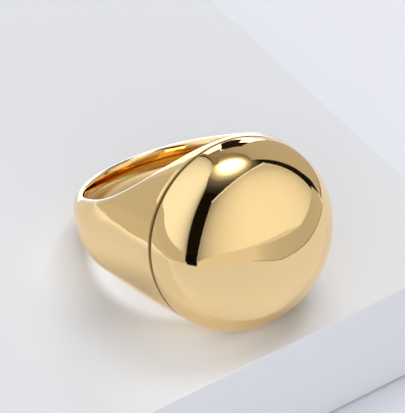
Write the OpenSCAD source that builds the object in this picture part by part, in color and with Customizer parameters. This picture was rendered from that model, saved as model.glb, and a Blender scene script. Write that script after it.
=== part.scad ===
// A gold-coloured steel dome ring that lies on its side, as it comes to rest on a table.
// Millimetres. The origin is the centre of the finger hole, +X runs towards the dome and +Z is up.
// The ring has a tapering shank and a hollow dome, which meet at a fine seam.
// Both are drawn with the finger hole upright, and then laid down by the tilt that they rest at.

/* [Finger hole] */
// Diameter of the finger hole, here a US size 7
hole_d = 17.3; // [16.5:0.1:18.2]
// Width of the rounded lip round each end of the hole
lip_w = 0.6; // [0.4:0.05:0.7]

/* [Shank seen along the hole] */
// Thickness of the band behind the finger
back_wall = 1.3; // [1.1:0.05:1.6]
// Thickness of the band beside the finger
side_wall = 1.6; // [1.4:0.05:2]
// Metal between the hole and the flat seat under the dome
seat_wall = 2.45; // [1.8:0.05:3]
// Slope at which the sides of the shank run into the dome
side_slope = 0.14; // [0:0.02:0.3]

/* [Shank seen from the side] */
// Half height of the form behind the finger, before the hole is cut
back_half = 3; // [2.8:0.1:3.4]
// Half height of the form beside the finger
side_half = 4.65; // [4.3:0.05:5]
// Half height of the form midway between the finger and the dome
shoulder_half = 7.15; // [6.8:0.05:7.4]
// Fullness of the section behind the finger, where 2 is an ellipse
back_fullness = 2.6; // [2:0.1:3.2]
// Fullness of the section beside the finger
side_fullness = 3.9; // [3:0.1:4.2]
// Fullness of the section midway to the dome
shoulder_fullness = 2.8; // [2.4:0.1:3.2]

/* [Dome] */
// Diameter of the dome at its seam
dome_d = 18.5; // [18:0.1:19]
// Height of the dome over its seam
dome_h = 5.6; // [4.6:0.1:7]
// Thickness of the dome's wall
dome_wall = 1.2; // [0.8:0.1:1.6]
// Gap that shows as the dark seam between shank and dome
seam_gap = 0.2; // [0.1:0.01:0.3]
// Height of the hidden step that centres the dome on the shank
step_h = 0.8; // [0.5:0.1:1.2]

/* [Hidden] */
$fn = 96;
gold = [0.87, 0.75, 0.53];

hole_r = hole_d / 2;
lip_r = hole_r + lip_w;
back_r = hole_r + back_wall;
side_r = hole_r + side_wall;
seat_x = hole_r + seat_wall;
dome_r = dome_d / 2;
hollow_r = dome_r - dome_wall;
hollow_h = dome_h - dome_wall;
step_play = 0.05;

// How far the rounded lips reach inside the hole before it is bored
bite = 0.05;
// Distance over which slopes are measured
nudge = 0.01;
// Spacing of the points at which the resting tilt is sought
probe = 0.02;

// Steps of the skin: round the seat's edge, round the rest of the hole, over the lip and over the side
seat_steps = 28;
back_steps = 60;
lip_steps = 5;
side_steps = 9;
// Steps of the dome's profile, from its edge to its top
dome_steps = 24;
turns = seat_steps + back_steps;
columns = lip_steps + side_steps + 1;
// Angle round the hole at which the outline reaches the seam
corner = atan2(dome_r, seat_x);

// A row for each section across the crown: its place along +X, its half height and its fullness
place = 0;
half = 1;
fullness = 2;
sections = [
    [-back_r, back_half, back_fullness],
    [0, side_half, side_fullness],
    [seat_x / 2, shoulder_half, shoulder_fullness],
    [seat_x, dome_r, 2],
];

function total(list) = list * [for (item = list) 1];
function product(list, i = 0) = i == len(list) ? 1 : list[i] * product(list, i + 1);

// The smooth curve through one column of the sections
function share(i, x) =
    product([
        for (j = [0 : len(sections) - 1])
            if (j != i) (x - sections[j][place]) / (sections[i][place] - sections[j][place])
    ]);
function through(column, x) =
    total([for (i = [0 : len(sections) - 1]) sections[i][column] * share(i, x)]);

// Half width of the form, in front of the hole's centre: round like the back at first, then drawn in
function half_width(x) =
    let (
        t = x / seat_x,
        drawn_in = (side_r - dome_r) * pow(t, 3) * (10 - 15 * t + 6 * t * t),
        rounded = side_r * pow(x / back_r, 2) / 2 * pow(1 - t, 3),
        flared = side_slope * seat_x * pow(t, 3) * (1 - t) * (4 - 3 * t)
    )
    side_r - drawn_in - rounded + flared;

// Height of the form's skin over a point of the hole's middle plane
function skin_z(x, y) =
    let (
        across = pow(y / half_width(max(x, 0)), 2),
        fading = x < 0 ? 1 : pow(1 - x / seat_x, 3) * (1 - across),
        along = fading * pow(x / back_r, 2),
        full = through(fullness, x)
    )
    through(half, x) * pow(max(0, 1 - pow(across + along, full / 2)), 1 / full);

// The lip's rounding at an angle round the hole: [radius out to its centre, height, radius, lean]
function ray_z(angle, r) = skin_z(r * cos(angle), r * sin(angle));
function lip(angle) =
    let (
        fall = (ray_z(angle, lip_r - nudge) - ray_z(angle, lip_r + nudge)) / (2 * nudge),
        lean = atan(fall),
        r = (lip_w + bite) / (1 + sin(lean))
    )
    [lip_r - r * sin(lean), ray_z(angle, lip_r) - r * cos(lean), r, lean];

// Where each line of the skin leaves the hole, and where it ends on the outline or the seam
function hole_angle(i) =
    i <= seat_steps
        ? corner * (2 * i / seat_steps - 1)
        : corner + (360 - 2 * corner) * (i - seat_steps) / back_steps;
function seam_end(angle) = [seat_x, dome_r * sin(90 * angle / corner), dome_r * cos(90 * angle / corner)];
function outline_end(angle) =
    let (
        side = angle < 180 ? 1 : -1,
        left = min(angle, 360 - angle),
        x = seat_x * cos(90 * (left - corner) / (90 - corner))
    )
    left > 90 ? [back_r * cos(angle), side_r * sin(angle), 0] : [x, side * half_width(x), 0];
function line_end(i) = i <= seat_steps ? seam_end(hole_angle(i)) : outline_end(hole_angle(i));

// The points of one line of the skin, from the hole over the lip and down the side
function skin_line(i) =
    let (
        angle = hole_angle(i),
        round = lip(angle),
        start = lip_r * [cos(angle), sin(angle)],
        end = line_end(i)
    )
    [
        for (j = [0 : lip_steps - 1])
            let (
                turn = -90 + (round[3] + 90) * j / lip_steps,
                r = round[0] + round[2] * sin(turn)
            )
            [r * cos(angle), r * sin(angle), round[1] + round[2] * cos(turn)],
        for (j = [0 : side_steps - 1])
            let (
                way = sin(90 * j / side_steps),
                at = [start.x + (end.x - start.x) * way, start.y + (end.y - start.y) * way]
            )
            [at.x, at.y, skin_z(at.x, at.y)],
        end
    ];

// The whole skin: upper lines, their mirror images below, the wall in the hole and the flat seat
module form() {
    upper = [for (i = [0 : turns - 1]) each skin_line(i)];
    lower = [for (p = upper) [p.x, p.y, -p.z]];
    edge = columns - 1;
    function at(i, j) = (i % turns) * columns + j;
    // A line below ends at the same point as the line above it, but for those that end on the seat's rim
    function under(i, j) =
        j == edge && (i % turns == 0 || i >= seat_steps) ? at(i, j) : at(i, j) + len(upper);
    skin = [
        for (i = [0 : turns - 1], j = [0 : edge - 1])
            [at(i + 1, j), at(i + 1, j + 1), at(i, j + 1), at(i, j)]
    ];
    below = [
        for (i = [0 : turns - 1], j = [0 : edge - 1])
            [under(i, j), under(i, j + 1), under(i + 1, j + 1), under(i + 1, j)]
    ];
    wall = [for (i = [0 : turns - 1]) [under(i, 0), under(i + 1, 0), at(i + 1, 0), at(i, 0)]];
    seat = [
        for (i = [0 : seat_steps]) at(i, edge),
        for (i = [seat_steps - 1 : -1 : 1]) under(i, edge)
    ];
    polyhedron(points = concat(upper, lower), faces = concat(skin, below, wall, [seat]), convexity = 6);
}

// A quarter of an ellipse, from its widest point to its top
function quarter(radius, height) =
    [for (i = [0 : dome_steps]) [radius * cos(90 * i / dome_steps), height * sin(90 * i / dome_steps)]];

// The ring rests on its rear lip and on the underside of its shoulder
rear = lip(180);
function tilt_on(x) =
    let (reach = [x + rear[0], skin_z(x, 0) - rear[1]])
    atan2(reach.y, reach.x) - asin(rear[2] / norm(reach));
rest_tilt = max([for (x = [lip_r : probe : seat_x]) tilt_on(x)]);
module laid() {
    rotate([0, -rest_tilt, 0])
        children();
}

module shank() {
    step_r = hollow_r * sqrt(1 - pow(step_h / hollow_h, 2)) - step_play;
    color(gold)
        laid()
            difference() {
                union() {
                    form();
                    translate([seat_x - seat_wall / 4, 0, 0])
                        rotate([0, 90, 0])
                            cylinder(r = step_r, h = seat_wall / 4 + step_h);
                }
                cylinder(r = hole_r, h = 3 * dome_r, center = true);
            }
}

module dome() {
    outside = quarter(dome_r, dome_h);
    inside = quarter(hollow_r, hollow_h);
    color(gold)
        laid()
            translate([seat_x + seam_gap, 0, 0])
                rotate([0, 90, 0])
                    rotate_extrude()
                        polygon(concat(outside, [for (i = [dome_steps : -1 : 0]) inside[i]]));
}

shank();
dome();
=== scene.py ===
import math

import bmesh
import bpy
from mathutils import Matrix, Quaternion, Vector


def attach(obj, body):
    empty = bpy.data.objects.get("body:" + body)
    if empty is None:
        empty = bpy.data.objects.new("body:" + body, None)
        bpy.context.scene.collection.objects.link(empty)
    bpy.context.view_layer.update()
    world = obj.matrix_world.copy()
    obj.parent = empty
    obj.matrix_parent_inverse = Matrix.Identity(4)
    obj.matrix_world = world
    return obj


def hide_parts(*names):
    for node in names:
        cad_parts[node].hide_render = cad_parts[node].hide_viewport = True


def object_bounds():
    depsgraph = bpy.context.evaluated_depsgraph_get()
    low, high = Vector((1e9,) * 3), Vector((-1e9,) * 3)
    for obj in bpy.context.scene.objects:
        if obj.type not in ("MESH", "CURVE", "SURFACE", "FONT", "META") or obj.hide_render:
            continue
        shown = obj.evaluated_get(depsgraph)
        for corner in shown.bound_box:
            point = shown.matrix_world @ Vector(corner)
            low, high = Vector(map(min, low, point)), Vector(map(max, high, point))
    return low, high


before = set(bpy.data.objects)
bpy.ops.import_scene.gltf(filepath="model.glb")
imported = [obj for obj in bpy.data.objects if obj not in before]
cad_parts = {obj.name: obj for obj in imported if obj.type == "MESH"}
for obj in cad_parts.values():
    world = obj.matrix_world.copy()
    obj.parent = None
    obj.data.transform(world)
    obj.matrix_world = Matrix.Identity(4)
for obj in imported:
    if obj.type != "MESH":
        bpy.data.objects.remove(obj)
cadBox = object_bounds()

scene = bpy.context.scene
mm = 0.001
weld = 0.0004  # millimetres within which points become one
sharpFrom = 50  # degrees between two faces from which their edge is sharp
restTilt = 20.6687  # degrees by which the ring leans as it lies, as in the part's source
floorHeight = cadBox[0].z


# Node sums

class Wire:
    def __init__(self, board, socket):
        self.board = board
        self.socket = socket

    def __add__(self, other):
        return self.board.sum("ADD", self, other)

    def __sub__(self, other):
        return self.board.sum("SUBTRACT", self, other)

    def __rsub__(self, other):
        return self.board.sum("SUBTRACT", other, self)

    def __mul__(self, other):
        return self.board.sum("MULTIPLY", self, other)

    def __truediv__(self, other):
        return self.board.sum("DIVIDE", self, other)

    def __rtruediv__(self, other):
        return self.board.sum("DIVIDE", other, self)

    def __pow__(self, other):
        return self.board.sum("POWER", self, other)

    def __rpow__(self, other):
        return self.board.sum("POWER", other, self)

    def __gt__(self, other):
        return self.board.sum("GREATER_THAN", self, other)

    def __lt__(self, other):
        return self.board.sum("LESS_THAN", self, other)

    __radd__ = __add__
    __rmul__ = __mul__

    def least(self, other):
        return self.board.sum("MINIMUM", self, other)

    def most(self, other):
        return self.board.sum("MAXIMUM", self, other)

    def clamped(self):
        return self.least(1).most(0)

    def distance(self):
        return self.board.sum("ABSOLUTE", self)

    def root(self):
        return self.board.sum("SQRT", self.most(0))

    def sine(self):
        return self.board.sum("SINE", self)

    def cosine(self):
        return self.board.sum("COSINE", self)

    def slant(self):
        return self.board.sum("ARCTANGENT", self)


class Board:
    def __init__(self, tree):
        self.tree = tree
        tree.nodes.clear()

    def put(self, kind, settings=None, inputs=None, output=0):
        node = self.tree.nodes.new(kind)
        for name, value in (settings or {}).items():
            if name == "stops":  # a ramp's stops, as (place, colour)
                ramp = node.color_ramp
                while len(ramp.elements) < len(value):
                    ramp.elements.new(1)
                for element, (place, colour) in zip(ramp.elements, value):
                    element.position = place
                    element.color = colour
            else:
                setattr(node, name, value)
        for key, value in (inputs or {}).items():
            for item in value if isinstance(value, list) else [value]:  # a list holds links to one socket
                if isinstance(item, Wire):
                    self.tree.links.new(item.socket, node.inputs[key])
                else:
                    node.inputs[key].default_value = item
        return Wire(self, node.outputs[output]) if node.outputs else None

    def sum(self, operation, *values):
        return self.put("ShaderNodeMath", {"operation": operation}, dict(enumerate(values)))

    def choose(self, share, low, high):
        return self.put("ShaderNodeMix", {}, {0: share, 2: low, 3: high})

    def blend(self, share, low, high):
        return self.put("ShaderNodeMix", {"data_type": "RGBA"}, {0: share, 6: low, 7: high}, 2)

    def parts(self, vector):
        split = self.put("ShaderNodeSeparateXYZ", {}, {0: vector}).socket.node
        return [Wire(self, socket) for socket in split.outputs]


# Finishes

def newMaterial(name):
    material = bpy.data.materials.new(name)
    material.use_nodes = True
    return material, Board(material.node_tree)


goldFinish = {
    "colour": (0.94, 0.69, 0.345, 1),
    "paler": (0.96, 0.72, 0.38, 1),
    "clouds": 140,  # scale of the slow change between the two
    "cloudRamp": (0.35, 1.6),  # where a noise begins to count, and how fast it grows from there
    "lipHighlight": (1, 0.95, 0.84, 1),  # a painted highlight, paler gold on the lips
    "lipHighlightShare": (0.75, 0.3),  # its strength, and what the clouds add to it
    "lip": (9.00, 9.54),  # from and to, in millimetres from the hole's axis
    "inside": (0.60, 0.29, 0.04, 1),  # painted shade, a darker and redder gold deep in the hole
    "deep": 2.5, "deeper": 0.26,  # half height of that part in millimetres, and its growth along +X
    "seamShadeAndGrime": (0.32, 0.20, 0.06, 1), "grimeRoughness": 0.3,  # painted shade in the seam's gap, with grime settled in it
    "seam": (11.2, 0.36),  # its place and half width, in millimetres
    "lipFade": 12, "deepFade": 2, "seamFade": 7,  # one over the millimetres in which each begins and ends
    "roughness": 0.04,
    "smudges": 330, "smudgeRamp": (0.5, 4), "smudgeRoughness": 0.03,  # marks of handling
    "scratches": [((1, 26, 1), (0.3, 0.2, 0.7)), ((24, 1, 1), (0.9, 0.1, 1.9)),
                  ((1, 1, 30), (0.5, 1.1, 0.2))],  # the stretch and turn of each set
    "scratchScale": 900, "scratchRamp": (0.66, 9), "scratchRoughness": 0.03,
    "reliefStrength": 0.012, "reliefDepth": 0.02, "scratchHeight": -1, "cloudHeight": 0.4,
}


def makeGold():
    look = goldFinish
    material, board = newMaterial("polished gold finish")
    place = board.put("ShaderNodeTexCoord", output="Object")

    def speckle(scale, detail, stretch=(1, 1, 1), turn=(0, 0, 0)):
        held = board.put("ShaderNodeMapping", {}, {"Vector": place, "Rotation": turn, "Scale": stretch})
        return board.put("ShaderNodeTexNoise", {}, {"Vector": held, "Scale": scale, "Detail": detail}, "Fac")

    def counted(noise, ramp):
        start, slope = look[ramp]
        return (noise - start) * slope

    # the ring as it stands with its hole upright, in millimetres
    upright = board.put("ShaderNodeMapping", {}, {
        "Vector": place, "Scale": (1 / mm, 1 / mm, 1 / mm), "Rotation": (0, math.radians(restTilt), 0)})
    x, y, z = board.parts(upright)
    fromAxis = (x * x + y * y).root()
    lipFrom, lipTo = look["lip"]
    pastHole = ((fromAxis - lipFrom) * look["lipFade"]).clamped()
    onLip = pastHole * ((lipTo - fromAxis) * look["lipFade"]).clamped()
    inHole = ((lipFrom - fromAxis) * look["lipFade"]).clamped()
    deep = ((look["deep"] + x * look["deeper"] - z.distance()) * look["deepFade"]).clamped()
    seamPlace, seamHalf = look["seam"]
    inSeam = ((seamHalf - (x - seamPlace).distance()) * look["seamFade"]).clamped()
    cloud = speckle(look["clouds"], 2)
    smudge = counted(speckle(look["smudges"], 4), "smudgeRamp").clamped()
    scratch = 0
    for stretch, turn in look["scratches"]:
        scratch = scratch + counted(speckle(look["scratchScale"], 1, stretch, turn), "scratchRamp").clamped()
    lipHighlightShare, cloudShare = look["lipHighlightShare"]
    tone = board.blend(counted(cloud, "cloudRamp"), look["colour"], look["paler"])
    # painted shade deep in the hole
    tone = board.blend(inHole * deep, tone, look["inside"])
    # painted highlight: the lips in a paler gold
    tone = board.blend(onLip * (lipHighlightShare + cloud * cloudShare).clamped(), tone, look["lipHighlight"])
    # painted shade in the seam, with its grime
    tone = board.blend(inSeam, tone, look["seamShadeAndGrime"])
    roughness = look["roughness"] + smudge * look["smudgeRoughness"]
    roughness = roughness + scratch * look["scratchRoughness"] + inSeam * look["grimeRoughness"]
    relief = board.put("ShaderNodeBump", {}, {
        "Strength": look["reliefStrength"], "Distance": look["reliefDepth"] * mm,
        "Height": scratch * look["scratchHeight"] + cloud * look["cloudHeight"]})
    metal = board.put("ShaderNodeBsdfPrincipled", {}, {
        "Base Color": tone, "Metallic": 1, "Roughness": roughness, "Normal": relief})
    board.put("ShaderNodeOutputMaterial", {}, {"Surface": metal})
    return material


gold = makeGold()
print("gold finish")


# Geometry helpers

def newTree(name, numbers, output, kind):
    tree = bpy.data.node_groups.new(name, "GeometryNodeTree")
    tree.interface.new_socket(output, in_out="OUTPUT", socket_type=kind)
    for label, value in numbers.items():
        socket = tree.interface.new_socket(label, in_out="INPUT", socket_type="NodeSocketFloat")
        socket.default_value = value
    board = Board(tree)
    start = board.put("NodeGroupInput").socket.node
    return tree, board, {label: Wire(board, start.outputs[label]) for label in numbers}


def gridOf(board, across, along):
    # a flat grid, with each point's steps along its two sides
    grid = board.put("GeometryNodeMeshGrid", {}, {
        "Size X": 1, "Size Y": 1, "Vertices X": across + 1, "Vertices Y": along + 1})
    x, y, z = board.parts(board.put("GeometryNodeInputPosition"))
    column = board.sum("ROUND", (x + 0.5) * across)
    row = board.sum("ROUND", (y + 0.5) * along)
    return grid, column, row


def placed(board, grid, x, y, z):
    point = board.put("ShaderNodeCombineXYZ", {}, {0: x, 1: y, 2: z})
    return board.put("GeometryNodeSetPosition", {}, {"Geometry": grid, "Position": point})


def endTree(board, shape, tilt):
    # closes the seams, lays the ring down and gives it its finish
    merged = board.put("GeometryNodeMergeByDistance", {}, {"Geometry": shape, "Distance": weld})
    turn = board.put("ShaderNodeCombineXYZ", {}, {1: tilt * (-math.pi / 180)})
    laid = board.put("GeometryNodeTransform", {}, {
        "Geometry": merged, "Rotation": turn, "Scale": (mm, mm, mm)})
    smooth = board.put("GeometryNodeSetShadeSmooth", {}, {"Geometry": laid})
    real = board.put("GeometryNodeRealizeInstances", {}, {"Geometry": smooth})
    finished = board.put("GeometryNodeSetMaterial", {}, {"Geometry": real, "Material": gold})
    board.put("NodeGroupOutput", {}, {0: finished})


def makePiece(name, tree, numbers, node):
    holder = bpy.data.objects.new(name + "_maker", bpy.data.meshes.new(name + "_maker"))
    scene.collection.objects.link(holder)
    modifier = holder.modifiers.new("shape", "NODES")
    modifier.node_group = tree
    for item in tree.interface.items_tree:
        if item.in_out == "INPUT":
            modifier[item.identifier] = float(numbers[item.name])
    mesh = bpy.data.meshes.new_from_object(holder.evaluated_get(bpy.context.evaluated_depsgraph_get()))
    holder.modifiers.remove(modifier)
    bpy.data.objects.remove(holder)
    work = bmesh.new()
    work.from_mesh(mesh)
    bmesh.ops.remove_doubles(work, verts=work.verts, dist=weld * mm)
    bmesh.ops.dissolve_degenerate(work, edges=work.edges, dist=weld * mm / 4)
    bmesh.ops.recalc_face_normals(work, faces=work.faces)
    work.to_mesh(mesh)
    work.free()
    mesh.name = name
    mesh.set_sharp_from_angle(angle=math.radians(sharpFrom))
    piece = bpy.data.objects.new(name, mesh)
    scene.collection.objects.link(piece)
    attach(piece, "root")
    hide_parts(node)
    print(name, len(mesh.polygons), "faces")


def roundedIn(depth, rounding):
    # how far a surface has drawn in at a depth from the end of a rounded edge
    left = (rounding - depth).most(0)
    return rounding - (rounding * rounding - left * left).root()


# Shank

shankSizes = {  # millimetres, as the part's own
    "hole radius": 8.65,
    "lip width": 0.74,
    "crest curve": 0.8,  # bends the lip's crest back where the skin rises behind it
    "wall swell": 0.36,  # how far the hole's wall leans out at its mouths
    "swell reach": 0.4,
    "wall lean": 2.4,  # the wall's slope where it meets the lip, in swells per half height
    "back radius": 9.95,
    "side radius": 10.25,
    "seat place": 11.1,
    "side slope": 0.14,
    "back half": 3.0,
    "side half": 4.65,
    "shoulder half": 7.15,
    "back fullness": 2.6,
    "side fullness": 3.9,
    "shoulder fullness": 2.8,
    "dome radius": 9.25,
    "seam rounding": 0.12,
    "seam fall": 0.09,  # a soft fall beside the rounding, over its reach
    "fall reach": 0.7,
    "step radius": 7.87,
    "step height": 0.8,
    "tilt": restTilt,
}
shankSteps = {"seat": 120, "back": 260, "wall": 12, "lip": 15, "side": 44}
sideClosing = 2.4  # how far the steps down a side close up towards its end


def through(x, places, values):
    # the smooth curve through some values at their places
    total = 0
    for i, value in enumerate(values):
        for j, place in enumerate(places):
            if j != i:
                value = value * ((x - place) / (places[i] - place))
        total = total + value
    return total


def halfWidth(x, size):
    # of the form in front of the hole's centre
    t = x / size["seat place"]
    drawnIn = (size["side radius"] - size["dome radius"]) * t ** 3 * (10 - 15 * t + 6 * t * t)
    ahead = x / size["back radius"]
    rounded = size["side radius"] * ahead * ahead / 2 * (1 - t) ** 3
    flared = size["side slope"] * size["seat place"] * t ** 3 * (1 - t) * (4 - 3 * t)
    return size["side radius"] - drawnIn - rounded + flared


def skinTree():
    # the skin's height over a point of the hole's middle plane
    tree, board, size = newTree("skin height", {"x": 0, "y": 0, **shankSizes}, "height", "NodeSocketFloat")
    x, y = size["x"], size["y"]
    places = (size["back radius"] * -1, 0, size["seat place"] / 2, size["seat place"])
    halves = [size["back half"], size["side half"], size["shoulder half"], size["dome radius"]]
    fulls = [size["back fullness"], size["side fullness"], size["shoulder fullness"], 2]
    half, full = through(x, places, halves), through(x, places, fulls)
    side = y / halfWidth(x.most(0), size)
    across = side * side
    front = (1 - x / size["seat place"]).most(0) ** 3 * (1 - across)
    ahead = x / size["back radius"]
    reach = across + ahead * ahead * board.choose(x > 0, 1, front)
    height = half * (1 - reach ** (full / 2)).most(0) ** (1 / full)
    board.put("NodeGroupOutput", {}, {0: height})
    return tree


def lipLine(size, height, row, outX, outY):
    # up the hole's wall, which leans out towards its mouths, and over the lip: the reach and the height
    steps, nudge = shankSteps, 0.02  # the nudge is what the skin's slope is measured over
    lipRadius = size["hole radius"] + size["lip width"]
    inner, middle, outer = [height(outX * (lipRadius + step), outY * (lipRadius + step))
                            for step in (-nudge, 0, nudge)]
    swell = size["wall swell"] * middle / (middle + size["swell reach"])
    lean = ((inner - outer) / (2 * nudge)).slant()
    falls, rises = lean.most(0), lean.least(0)
    start = (swell * size["wall lean"] / middle).slant() - math.pi / 2
    width = size["lip width"] - swell - size["crest curve"] * rises.sine()
    bend = width / (falls.sine() - start.sine())
    # it turns to level, then back to a skin that rises, or on to a skin that falls
    way = (row - steps["wall"]) * (3 / steps["lip"])
    first = start * (1 - way.clamped())
    back = rises * (way - 1).clamped()
    last = falls * (way - 2).clamped()
    crestReach = size["hole radius"] + swell + bend * (first.sine() - start.sine() + last.sine())
    crestReach = crestReach + size["crest curve"] * back.sine()
    crestDrop = bend * (falls.cosine() - last.cosine() + 1 - first.cosine())
    crestZ = middle - crestDrop - size["crest curve"] * (rises.cosine() - back.cosine())
    wallZ = middle - bend * (falls.cosine() - start.cosine()) - size["crest curve"] * (rises.cosine() - 1)
    up = (row / steps["wall"]).clamped()
    wallReach = size["hole radius"] + swell * up * up
    onWall = row < steps["wall"] + 0.5
    return row.board.choose(onWall, crestReach, wallReach), row.board.choose(onWall, crestZ, wallZ * up)


def lineEnd(size, angle, corner, onSeat, outX, outY):
    # where a line down the side ends, on the seam or on the outline
    board, quarter = angle.board, math.pi / 2
    left = angle.least(2 * math.pi - angle)
    behind = left > quarter
    frontX = size["seat place"] * ((left - corner) / (quarter - corner) * quarter).cosine()
    frontY = halfWidth(frontX.most(0), size) * board.choose(angle > math.pi, 1, -1)
    outlineX = board.choose(behind, frontX, size["back radius"] * outX)
    outlineY = board.choose(behind, frontY, size["side radius"] * outY)
    seamY = size["dome radius"] * (angle / corner * quarter).sine()
    return board.choose(onSeat, outlineX, size["seat place"]), board.choose(onSeat, outlineY, seamY)


def seatAndStep(board, size):
    # the flat seat inside the seam's rounded edge, and the round step on it
    disc, spoke, ring = gridOf(board, shankSteps["seat"] * 2, 3)
    around = spoke * (math.pi / shankSteps["seat"]) - math.pi / 2
    fall = size["fall reach"] * size["fall reach"] * size["seam fall"]
    rim = size["dome radius"] - size["seam rounding"] - fall
    reach = rim + (size["step radius"] - rim) * ring.clamped() - size["step radius"] * (ring - 2).clamped()
    rise = size["seat place"] + size["step height"] * (ring - 1).clamped()
    return placed(board, disc, rise, reach * around.sine(), reach * around.cosine())


def shankTree():
    steps = shankSteps
    skin = skinTree()
    tree, board, size = newTree("shank shape", shankSizes, "shape", "NodeSocketGeometry")

    def height(x, y):
        return board.put("GeometryNodeGroup", {"node_tree": skin}, {"x": x, "y": y, **size})

    rows = steps["wall"] + steps["lip"] + steps["side"]
    grid, column, row = gridOf(board, steps["seat"] + steps["back"], rows)
    # the angle round the hole, with even steps round the seat's edge
    corner = board.sum("ARCTAN2", size["dome radius"], size["seat place"])
    onSeat = column < steps["seat"] + 0.5
    seatAngle = corner * (column * (2 / steps["seat"]) - 1)
    backAngle = corner + (2 * math.pi - corner * 2) * ((column - steps["seat"]) / steps["back"])
    angle = board.choose(onSeat, backAngle, seatAngle)
    outX, outY = angle.cosine(), angle.sine()
    lipReach, lipZ = lipLine(size, height, row, outX, outY)
    # down the side from the lip, with steps that close up towards the end
    startX = outX * (size["hole radius"] + size["lip width"])
    startY = outY * (size["hole radius"] + size["lip width"])
    endX, endY = lineEnd(size, angle, corner, onSeat, outX, outY)
    stage = ((row - (steps["wall"] + steps["lip"])) / steps["side"]).clamped() * (math.pi / 2)
    longest = stage.sine() ** sideClosing + stage.cosine().most(0) ** sideClosing
    share = stage.sine() * longest ** (-1 / sideClosing)
    sideX = startX + (endX - startX) * share
    sideY = startY + (endY - startY) * share
    sideZ = height(sideX, sideY) * board.choose(onSeat, row < rows - 0.5, 1)
    onSide = row > steps["wall"] + steps["lip"] + 0.5
    x = board.choose(onSide, lipReach * outX, sideX)
    y = board.choose(onSide, lipReach * outY, sideY)
    z = board.choose(onSide, lipZ, sideZ)
    # drawn in at the seam
    fromSeam = size["seat place"] - x
    falling = (size["fall reach"] - fromSeam).most(0)
    drawnIn = roundedIn(fromSeam, size["seam rounding"]) + falling * falling * size["seam fall"]
    kept = 1 - drawnIn / (y * y + z * z).root().most(0.001)
    upper = placed(board, grid, x, y * kept, z * kept)
    mirrored = board.put("GeometryNodeTransform", {}, {"Geometry": upper, "Scale": (1, 1, -1)})
    lower = board.put("GeometryNodeFlipFaces", {}, {"Mesh": mirrored})
    whole = board.put("GeometryNodeJoinGeometry", {}, {0: [seatAndStep(board, size), lower, upper]})
    endTree(board, whole, size["tilt"])
    return tree


makePiece("ring_shank", shankTree(), shankSizes, "shank")


# Dome

domeSizes = {  # millimetres
    "radius": shankSizes["dome radius"],
    "height": 5.6,
    "wall": 1.2,
    "place": 11.3,  # along the ring from the hole's axis, past the seam's gap
    "seam rounding": shankSizes["seam rounding"],
    "tilt": restTilt,
}
domeSteps = {"round": 256, "outside": 84, "inside": 24}


def domeTree():
    steps, quarter = domeSteps, math.pi / 2
    tree, board, size = newTree("dome shape", domeSizes, "shape", "NodeSocketGeometry")
    grid, column, row = gridOf(board, steps["round"], steps["outside"] + steps["inside"] + 1)
    fall = ((row / steps["outside"]).clamped() * quarter).sine()
    outside = (1 - fall) * quarter  # from the top down to the seam, with steps that close up
    inside = ((row - (steps["outside"] + 1)) / steps["inside"]).clamped() * quarter
    isInside = row > steps["outside"] + 0.5
    angle = board.choose(isInside, outside, inside)
    radius = size["radius"] - size["wall"] * isInside
    rise = (size["height"] - size["wall"] * isInside) * angle.sine()
    reach = radius * angle.cosine() - roundedIn(rise, size["seam rounding"]) * (1 - isInside)
    around = column * (2 * math.pi / steps["round"])
    shape = placed(board, grid, size["place"] + rise, reach * around.sine(), reach * around.cosine())
    endTree(board, shape, size["tilt"])
    return tree


makePiece("ring_dome", domeTree(), domeSizes, "dome")


# Block and floor

blockSizes = {  # millimetres
    "turn": 4.0,
    "front": 17.6,
    "side": 22.4,
    "back": 260.0,
    "thickness": 12.0,
    "edge": 0.15,
    "gap": 0.2,  # under the block's edge
    "inset": 1.0,  # of the foot that closes it
    "floor": 520.0,
    "floor depth": 10.0,
}
boardGrain = {"scale": 60, "detail": 3, "lighter": 1.02}  # a faint cloudiness, up to so much lighter
paleBoards = {
    "block": {"colour": (0.86, 0.875, 0.91, 1), "roughness": 0.4},
    "floor": {"colour": (0.92, 0.925, 0.99, 1), "roughness": 0.5},
}
ringGlow = {  # painted light: pools that glow on the block's top where the ring throws light, each pool's centre, reach and strength
    "pools": [((14, -9), 11.5, 0.25), ((-1, -10), 7, 0.12)],
    "colour": (1, 0.97, 0.90, 1),
}


def paleFinish(name, row, glow=None):
    material, board = newMaterial(name)
    place = board.put("ShaderNodeTexCoord", output="Object")
    grain = board.put("ShaderNodeTexNoise", {}, {
        "Vector": place, "Scale": boardGrain["scale"], "Detail": boardGrain["detail"]}, "Fac")
    lighter = tuple(min(1, part * boardGrain["lighter"]) for part in row["colour"])
    base = board.blend(grain, row["colour"], lighter)
    inputs = {"Base Color": base, "Roughness": row["roughness"], "Specular IOR Level": 0}
    # painted light: the pools glow on the block's top around the ring
    if glow:
        x, y, z = board.parts(place)
        thrown = 0
        for centre, reach, strength in glow["pools"]:
            across, along = x - centre[0] * mm, y - centre[1] * mm
            near = (1 - (across * across + along * along) / (reach * mm) ** 2).clamped()
            thrown = thrown + near * near * strength
        thrown = thrown * (z > floorHeight - 0.1 * mm)  # on the block's top alone
        inputs["Emission Color"] = board.blend(thrown, (0, 0, 0, 1), glow["colour"])
        inputs["Emission Strength"] = 1
    board.put("ShaderNodeOutputMaterial", {}, {"Surface": board.put("ShaderNodeBsdfPrincipled", {}, inputs)})
    return material


def makeBoard(name, low, high, material, turn=0, edge=0):
    work = bmesh.new()
    bmesh.ops.create_cube(work, size=1)
    for vert in work.verts:
        vert.co = Vector([low[k] + (high[k] - low[k]) * (vert.co[k] + 0.5) for k in range(3)]) * mm
    mesh = bpy.data.meshes.new(name)
    work.to_mesh(mesh)
    work.free()
    mesh.materials.append(material)
    thing = bpy.data.objects.new(name, mesh)
    thing.rotation_euler.z = math.radians(turn)
    scene.collection.objects.link(thing)
    if edge:
        bevel = thing.modifiers.new("edge", "BEVEL")
        bevel.width = edge * mm
        bevel.segments = 3


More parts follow.
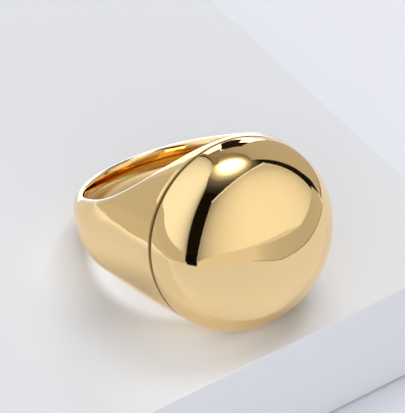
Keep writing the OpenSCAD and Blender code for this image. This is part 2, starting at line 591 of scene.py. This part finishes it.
def makeBlockAndFloor():
    size = blockSizes
    pale = paleFinish("pale board", paleBoards["block"], ringGlow)
    paler = paleFinish("paler floor", paleBoards["floor"])
    back, top, inset = -size["back"], floorHeight / mm, size["inset"]
    bottom = top - size["thickness"]
    makeBoard("stage_block", (back, back, bottom + size["gap"]), (size["front"], size["side"], top), pale,
              size["turn"], size["edge"])
    makeBoard("stage_foot", (back, back, bottom - inset),
              (size["front"] - inset, size["side"] - inset, bottom + size["gap"] + inset), pale, size["turn"])
    makeBoard("stage_floor", (-size["floor"], -size["floor"], bottom - size["floor depth"]),
              (size["floor"], size["floor"], bottom), paler)


makeBlockAndFloor()
print("block and floor")


# Studio

viewedFrom = Vector((12, 0, 4))  # where the dome is, which the cards and the fence stand round

# Each card stands upright and faces the dome, at an azimuth counted from +X and a distance. Its corners are
# (across, up) in millimetres. A glow with an edgeGlow changes from the centre outwards, over its reach.
studio = {
    "left panel": {
        "azimuth": -120, "distance": 150, "glow": 1.15, "edgeGlow": 0.33, "reach": 365, "bend": 2.1,
        "squash": 0.2, "colour": (0.97, 1, 1.04), "centre": (20, 68),
        "corners": [(-300, -5), (-231, 12), (-192, 19), (-150, 33), (-117, 31), (-87, 27), (-70, 23),
                    (-55, 25), (-26, 38), (0, 44), (26, 41), (87, 37), (391, 44), (391, 430), (398, 560),
                    (405, 700), (380, 900), (330, 1040), (139, 1020), (-46, 1110), (-200, 1170), (-260, 1050),
                    (-294, 700)]},
    "left base": {
        "azimuth": -120, "distance": 151, "glow": 0.56, "colour": (1.05, 1, 0.90),
        "corners": [(-235, -21), (375, -21), (375, 46), (-235, 46)]},
    "brown corner": {
        "azimuth": 170, "distance": 180, "glow": 0.25, "colour": (1.12, 0.95, 0.66),
        "corners": [(-32, 126), (8, 126), (8, 55), (22, 55), (22, 672), (-32, 672)]},
    "brown line": {
        "azimuth": 176, "distance": 178, "glow": 0.07, "colour": (1.2, 0.8, 0.3),
        "corners": [(-2.5, 54), (3, 54), (3, 640), (-2.5, 640)]},
    "left corner base": {
        "azimuth": 178, "distance": 201, "glow": 0.66, "colour": (1.05, 1, 0.92),
        "corners": [(-24, -21), (22, -21), (22, 56), (-24, 56)]},
    "right panel": {
        "azimuth": 22, "distance": 180, "glow": 1.04, "edgeGlow": 0.62, "reach": 280, "bend": 2.2,
        "colour": (1.01, 1, 0.95), "centre": (-8, 70), "fade": (255, 18.9, 0.45, 230, 0.6),
        "corners": [(-300, 5), (-230, 17), (-136, 27), (-55, 18), (25, 8), (52, 3), (76, -5), (110, -19),
                    (140, -28), (300, -60), (290, 335), (-187, 333)]},
    "right panel rim": {
        "azimuth": 22, "distance": 179, "glow": 0.55, "colour": (1.04, 1, 1),
        "corners": [(-302, 5), (-188, 335), (-180, 335), (-294, 5)]},
    "right panel top": {
        "azimuth": 22, "distance": 179, "glow": 1.1, "colour": (1.04, 1, 1),
        "corners": [(-188, 331), (290, 331), (290, 352), (-188, 350)]},
    "right base": {
        "azimuth": 22, "distance": 181, "glow": 0.78, "colour": (1.04, 1, 0.93),
        "corners": [(-300, -24), (200, -24), (200, 30), (-300, 30)]},
    "first dark": {
        "azimuth": -43, "distance": 148, "glow": 0.004, "colour": (1, 1, 1),
        "corners": [(-20, -7), (13, -7), (13, 20), (-22, 20)]},
    "second dark": {
        "azimuth": 86, "distance": 80, "glow": 0.01, "colour": (1, 0.8, 0.7),
        "corners": [(3, -13), (6, 0), (3.5, 21), (3, 46), (4, 80), (-7, 80), (-7, 46), (-5.5, 21), (-2, 0)]},
    "far panel": {
        "azimuth": 110, "distance": 88, "glow": 0.50, "edgeGlow": 0.28, "reach": 190, "bend": 2,
        "colour": (1.06, 1, 0.90), "centre": (-10, 20),
        "corners": [(-34, -20.8), (38, -20.8), (45, 86), (79, 110), (165, 175), (165, 288), (79, 182),
                    (37, 147), (0, 136), (-34, 145)]},
    "far panel foot": {
        "azimuth": 110, "distance": 87, "glow": 0.06, "colour": (1.06, 1, 0.80),
        "corners": [(-34, -20.7), (35, -20.7), (35, -18.7), (-34, -18.7)]},
    "back panel": {
        "azimuth": 152, "distance": 250, "glow": 2.6, "colour": (1, 1, 1),
        "corners": [(-100, 12), (100, 12), (100, 235), (-100, 235)]},
    "back base": {
        "azimuth": 152, "distance": 251, "glow": 0.7, "colour": (1.03, 1, 0.95),
        "corners": [(-100, -44), (-17, -44), (-17, 14), (-100, 14)]},
    "bright base": {
        "azimuth": 152, "distance": 251, "glow": 2.2, "colour": (1.02, 1, 1),
        "corners": [(-17, -60), (100, -60), (100, 14), (-17, 14)]},
    "back patch": {
        "azimuth": 152, "distance": 242, "glow": 0.014, "colour": (1, 0.9, 0.7),
        "corners": [(-98, 235), (30, 218), (30, 34), (-8, 38), (-25, 50), (-32, 120), (-98, 125)]},
}
fence = {  # stands round the far side of the floor, as (x, y, top) from the dome
    "glow": 0.52, "edgeGlow": 0.78, "reach": 130, "bend": 1.6, "colour": (1.04, 1, 0.93),
    "foot": -20.7, "footHeight": 1.3, "footGlow": 0.30,
    "line": [(420, 5, 36), (143, 38, 8), (72, 41, 1), (46, 55, -3), (26, 73, 0.5), (5, 82, 2)],
    "centre": (40, 60, -8),
}
skirtEdge = [(-300, -60), (-88, -50), (-49, -44), (-25, -33.5), (-14, -26.7), (-10.5, -27.5), (-8.5, -38),
             (-1, -66), (21, -80), (52, -107), (100, -136)]
lyingCards = {  # glowing cards on the block, seen in the metal alone, which paint a brighter reflection of it: in front of the ring, behind it and under its hole, with corners as (x, y)
    "skirt": {
        "glow": 0.60, "colour": (1.06, 1, 0.90), "lift": 0.3,
        "corners": [*skirtEdge, (100, -190), (-300, -190)]},
    "far sheen": {
        "glow": 1.5, "colour": (1.03, 1, 1.02), "lift": 0.4,
        "corners": [(-12, 22), (-44, 26), (-127, 58), (-140, -10), (-48, -8), (-15, -9)]},
    "hole sheen": {
        "glow": 1.0, "edgeGlow": 0.44, "reach": 7.5, "bend": 1.5, "colour": (1.03, 1, 0.98), "lift": 0.2,
        "corners": [(-8.5, -7), (5, -7), (5, 7), (-8.5, 7)]},
}
blockSheen = {  # light added to the block's image between two lines, strongest at the first
    "glow": 0.42, "colour": (1, 1, 0.97), "lift": 0.2,
    "from": skirtEdge,
    "to": [(-300, -50), (-88, -41), (-49, -35), (-23, -26), (-9, -19.5), (-4, -20), (0, -30), (8, -52),
           (27, -66), (57, -97), (103, -130)],
}


def glowFinish(name, row):
    material, board = newMaterial(name)
    strength = row["glow"]
    if "edgeGlow" in row:
        x, y, z = board.parts(board.put("ShaderNodeTexCoord", output="Object"))
        z = z * row.get("squash", 1)
        away = (x * x + y * y + z * z).root() / (row["reach"] * mm)
        strength = row["glow"] + away.clamped() ** row["bend"] * (row["edgeGlow"] - row["glow"])
        if "fade" in row:  # darker towards a slanting edge, at a distance from the centre
            start, slope, low, width, curve = row["fade"]
            turn, slope = math.radians(row["azimuth"]), math.radians(slope)
            across = y * math.cos(turn) - x * math.sin(turn)
            inside = (across * math.cos(slope) - z * math.sin(slope) + start * mm) / (width * mm)
            strength = strength * (low + inside.clamped() ** curve * (1 - low))
    light = board.put("ShaderNodeEmission", {}, {"Color": (*row["colour"], 1), "Strength": strength})
    board.put("ShaderNodeOutputMaterial", {}, {"Surface": light})
    return material


def hideFromView(thing):
    # seen in the metal alone
    thing.visible_camera = False
    thing.visible_shadow = False
    thing.visible_diffuse = False
    scene.collection.objects.link(thing)


def makeSheet(name, points, origin, material):
    mesh = bpy.data.meshes.new(name)
    mesh.from_pydata([(point - origin) * mm for point in points], [], [list(range(len(points)))])
    mesh.materials.append(material)
    thing = bpy.data.objects.new(name, mesh)
    thing.location = origin * mm
    hideFromView(thing)


def stageName(name):
    return "stage_" + name.replace(" ", "_")


def makeCard(name, row):
    turn = math.radians(row["azimuth"])
    start = viewedFrom + Vector((math.cos(turn), math.sin(turn), 0)) * row["distance"]
    along, up = Vector((-math.sin(turn), math.cos(turn), 0)), Vector((0, 0, 1))
    points = [start + along * across + up * rise for across, rise in row["corners"]]
    across, rise = row.get("centre", row["corners"][0])
    makeSheet(stageName(name), points, start + along * across + up * rise, glowFinish(name, row))


def onBlock(x, y, lift):
    return Vector((x, y, floorHeight / mm + lift))


def makeLyingCard(name, row):
    points = [onBlock(x, y, row["lift"]) for x, y in row["corners"]]
    makeSheet(stageName(name), points, onBlock(0, 0, row["lift"]), glowFinish(name, row))


def makeSheen():
    material, board = newMaterial("block sheen")
    share = board.put("ShaderNodeAttribute", {"attribute_name": "share"}, {}, "Fac")
    strength = share * share * blockSheen["glow"]
    light = board.put("ShaderNodeEmission", {}, {"Color": (*blockSheen["colour"], 1), "Strength": strength})
    clear = board.put("ShaderNodeBsdfTransparent")
    surface = board.put("ShaderNodeAddShader", {}, {0: light, 1: clear})
    board.put("ShaderNodeOutputMaterial", {}, {"Surface": surface})
    count = len(blockSheen["from"])
    points = [onBlock(x, y, blockSheen["lift"]) * mm for x, y in blockSheen["from"] + blockSheen["to"]]
    faces = [(i, i + 1, count + i + 1, count + i) for i in range(count - 1)]
    mesh = bpy.data.meshes.new("stage_sheen")
    mesh.from_pydata(points, [], faces)
    mesh.attributes.new("share", "FLOAT", "POINT").data.foreach_set("value", [1.0] * count + [0.0] * count)
    mesh.materials.append(material)
    hideFromView(bpy.data.objects.new("stage_sheen", mesh))


def makeFence():
    finish = glowFinish("fence", fence)
    footFinish = glowFinish("fence foot", {"glow": fence["footGlow"], "colour": fence["colour"]})
    origin, foot = viewedFrom + Vector(fence["centre"]), fence["foot"]
    for i, ((x1, y1, top1), (x2, y2, top2)) in enumerate(zip(fence["line"], fence["line"][1:])):
        panel = [(x1, y1, foot), (x2, y2, foot), (x2, y2, top2), (x1, y1, top1)]
        panel = [viewedFrom + Vector(point) for point in panel]
        makeSheet("stage_fence_%d" % i, panel, origin, finish)
        strip = [(x1 - 1, y1 - 1, foot), (x2 - 1, y2 - 1, foot)]
        strip += [(x, y, foot + fence["footHeight"]) for x, y, low in reversed(strip)]
        strip = [viewedFrom + Vector(point) for point in strip]
        makeSheet("stage_fence_foot_%d" % i, strip, origin, footFinish)


for name, row in studio.items():
    makeCard(name, row)
for name, row in lyingCards.items():
    makeLyingCard(name, row)
makeSheen()
makeFence()

overhead = {  # a round sheet of light high over the ring
    "azimuth": 95, "lean": 15.5, "height": 1500, "radius": 1080, "sides": 64,
    "glow": 4, "colour": (1, 0.97, 0.86),
    "away": 149, "short": 1.5, "long": 0.97,  # the glow ends sooner on the side away from the camera
    "fall": [(0, 1), (0.28, 0.8), (0.37, 0.36), (0.46, 0.16), (0.6, 0.045), (0.8, 0.012), (1, 0.001)],
    "brown": (1.12, 0.95, 0.66), "brownGlow": 0.25, "brownReach": 600,  # over the back of the ring
}


def makeOverhead():
    material, board = newMaterial("overhead glow")
    x, y, z = board.parts(board.put("ShaderNodeTexCoord", output="Object"))
    turn = math.radians(overhead["away"])
    ahead = x * math.cos(turn) + y * math.sin(turn)
    aside = y * math.cos(turn) - x * math.sin(turn)
    ahead = ahead * overhead["long"] + ahead.most(0) * (overhead["short"] - overhead["long"])
    away = (ahead * ahead + aside * aside).root()
    stops = [(place, (level, level, level, 1)) for place, level in overhead["fall"]]
    fall = board.put("ShaderNodeValToRGB", {"stops": stops}, {"Fac": away / (overhead["radius"] * mm)})
    brown = (x / (-overhead["brownReach"] * mm)).clamped() * overhead["brownGlow"]
    strength = fall * overhead["glow"] + brown
    tint = board.blend(brown / strength, (*overhead["colour"], 1), (*overhead["brown"], 1))
    light = board.put("ShaderNodeEmission", {}, {"Color": tint, "Strength": strength})
    board.put("ShaderNodeOutputMaterial", {}, {"Surface": light})
    offset = math.tan(math.radians(overhead["lean"])) * overhead["height"]
    side = math.radians(overhead["azimuth"])
    centre = viewedFrom + Vector((math.cos(side) * offset, math.sin(side) * offset, overhead["height"]))
    around = [2 * math.pi * i / overhead["sides"] for i in range(overhead["sides"])]
    points = [centre + Vector((math.cos(a), math.sin(a), 0)) * overhead["radius"] for a in around]
    makeSheet("stage_overhead", points, centre, material)


makeOverhead()

# They light the block and stay out of the metal: place in millimetres, size in metres, energy in watts.
softLights = {
    "top light": {"place": (-260, 260, 640), "size": 0.5, "energy": 2.65, "colour": (0.98, 0.99, 1)},
    "side light": {"place": (-61, 345, 606), "size": 0.25, "energy": 0.6, "colour": (1, 0.99, 0.98)},
    "front light": {"place": (560, -240, 220), "size": 0.8, "energy": 2.55, "colour": (0.99, 0.99, 1)},
    "left light": {"place": (-78, -443, 536), "size": 1.0, "energy": 1.2, "colour": (0.99, 0.99, 1)},
}
room = {  # what a ray finds that meets nothing
    "seen": (0.80, 0.82, 0.86, 1),
    "in the metal": (0.008, 0.006, 0.004, 1),
    "from the block": (0.15, 0.149, 0.148, 1),
    "thrown by the ring": (1.2, 1.16, 1.12, 1),  # on the block, by way of the metal
}


def makeRoom():
    world = bpy.data.worlds.new("studio")
    world.use_nodes = True
    board = Board(world.node_tree)
    seen = board.put("ShaderNodeLightPath", output="Is Camera Ray")
    fromBlock = board.put("ShaderNodeLightPath", output="Diffuse Depth").clamped()
    thrown = board.put("ShaderNodeLightPath", output="Is Glossy Ray") * fromBlock
    colour = board.blend(seen, room["in the metal"], room["seen"])
    colour = board.blend(fromBlock, colour, room["from the block"])
    colour = board.blend(thrown, colour, room["thrown by the ring"])
    light = board.put("ShaderNodeBackground", {}, {"Color": colour, "Strength": 1})
    board.put("ShaderNodeOutputWorld", {}, {"Surface": light})
    scene.world = world


def makeSoftLight(name, row):
    data = bpy.data.lights.new(name, "AREA")
    data.size = row["size"]
    data.energy = row["energy"]
    data.color = row["colour"]
    lamp = bpy.data.objects.new(name, data)
    lamp.location = Vector(row["place"]) * mm
    lamp.rotation_euler = (-lamp.location).to_track_quat("-Z", "Y").to_euler()
    lamp.visible_glossy = False
    scene.collection.objects.link(lamp)


makeRoom()
for name, row in softLights.items():
    makeSoftLight(name, row)
scene.view_settings.view_transform = "Standard"
print("studio")


# Camera

cameraSet = {
    "azimuth": 59.443, "elevation": 42.4, "roll": 0.139,  # degrees
    "distance": 332.1, "aim": (1.40, 1.43, -0.52),  # millimetres
    "lens": 314.75, "sensor": 36,
    "clip": (0.01, 10),  # metres
}


def makeCamera():
    data = bpy.data.cameras.new("camera")
    data.sensor_fit = "HORIZONTAL"
    data.sensor_width = cameraSet["sensor"]
    data.lens = cameraSet["lens"]
    data.clip_start, data.clip_end = cameraSet["clip"]
    camera = bpy.data.objects.new("camera", data)
    turn, rise = math.radians(cameraSet["azimuth"]), math.radians(cameraSet["elevation"])
    back = Vector((math.sin(turn) * math.cos(rise), -math.cos(turn) * math.cos(rise), math.sin(rise)))
    roll = Quaternion((0, 0, 1), math.radians(cameraSet["roll"]))
    camera.rotation_mode = "QUATERNION"
    camera.rotation_quaternion = (-back).to_track_quat("-Z", "Y") @ roll
    camera.location = (Vector(cameraSet["aim"]) + back * cameraSet["distance"]) * mm
    scene.collection.objects.link(camera)
    scene.camera = camera


makeCamera()
print("camera")
